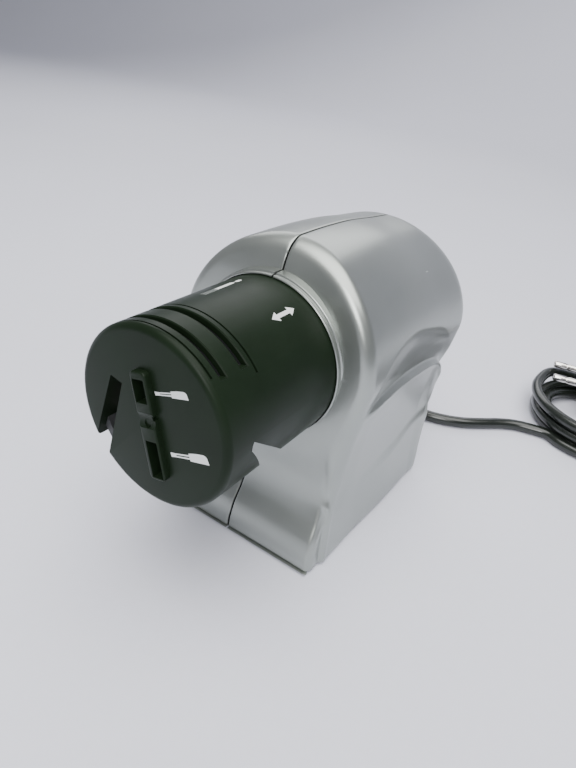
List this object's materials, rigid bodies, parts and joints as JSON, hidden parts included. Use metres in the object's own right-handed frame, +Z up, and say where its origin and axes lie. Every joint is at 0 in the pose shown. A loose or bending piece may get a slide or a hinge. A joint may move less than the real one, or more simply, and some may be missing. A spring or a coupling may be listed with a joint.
{
  "type": "electric knife sharpener",
  "caption": "Bench-top electric sharpener: silver arched housing, round black head that turns and slides, with knife, scissors and screwdriver slots, and a coiled mains cord.",
  "frame": {"origin": "On the standing surface, under the middle of the appliance without its cord and plug.", "axes": "+Z up; the working head points along -Y; the cord leaves the rear wall along +Y; +X is the right side seen by someone who faces the head from the front, the side with the slanted slot in the head."},
  "size_m": [0.2252, 0.2969, 0.1203],
  "materials": {
    "silver": "satin silver paint on plastic",
    "black": "fine-grained black plastic",
    "dark": "dark moulded plastic",
    "rubber": "matte rubber",
    "steel": "bare steel",
    "stone": "rough bonded abrasive",
    "brass": "turned brass",
    "copper": "enamelled copper",
    "ferrite": "dark sintered ferrite",
    "carbon": "pressed carbon",
    "board": "green circuit board",
    "white": "white nylon",
    "pvc": "smooth black PVC"
  },
  "bodies": {
    "housing": {"base_plate": "dark", "base_screw_left_front": "steel", "base_screw_left_rear": "steel", "base_screw_right_front": "steel", "base_screw_right_rear": "steel", "bracket_screw_left": "steel", "bracket_screw_right": "steel", "brush_lower": "carbon", "brush_upper": "carbon", "capacitor": "dark", "circuit_board": "board", "clamp_screw_left": "steel", "clamp_screw_right": "steel", "cord_clamp": "white", "cord_coil": "pvc", "cord_lead": "pvc", "cord_tail": "pvc", "detent_spring": "steel", "end_bell": "dark", "foot_front_left": "rubber", "foot_front_right": "rubber", "foot_rear_left": "rubber", "foot_rear_right": "rubber", "front_bearing": "brass", "housing_left": "silver", "housing_right": "silver", "magnet_left": "ferrite", "magnet_right": "ferrite", "motor_bracket": "white", "motor_can": "steel", "motor_screw_left": "steel", "motor_screw_right": "steel", "plug_body": "pvc", "plug_pin_front": "steel", "plug_pin_rear": "steel", "rear_bearing": "brass", "rectifier": "dark", "shell_screw_front": "steel", "shell_screw_rear": "steel", "shell_screw_top": "steel", "strain_relief": "rubber", "switch_body": "dark"},
    "index": {"index_ring": "dark"},
    "head": {"head_shell": "black", "knife_guide": "dark"},
    "rotor": {"motor_shaft": "steel", "armature_core": "steel", "armature_winding": "copper", "commutator": "copper", "cooling_fan": "dark", "grinding_wheel": "stone", "wheel_flange_front": "brass", "wheel_flange_rear": "brass", "wheel_nut": "brass"},
    "rocker": {"rocker": "black"}
  },
  "joints": [
    {"name": "head_turn", "type": "hinge", "parent": "housing", "child": "index", "pos_m": [0, -0.0237, 0.0768], "axis": [0, 1, 0], "range_deg": [-76, 104]},
    {"name": "head_pull", "type": "slide", "parent": "index", "child": "head", "axis": [0, -1, 0], "range_m": [0, 0.01]},
    {"name": "wheel_spin", "type": "hinge", "parent": "housing", "child": "rotor", "pos_m": [0, -0.0237, 0.0768], "axis": [0, 1, 0], "continuous": true},
    {"name": "rocker_press", "type": "hinge", "parent": "housing", "child": "rocker", "pos_m": [0, 0.06866, 0.04636], "axis": [1, 0, 0], "range_deg": [0, 14]}
  ]
}
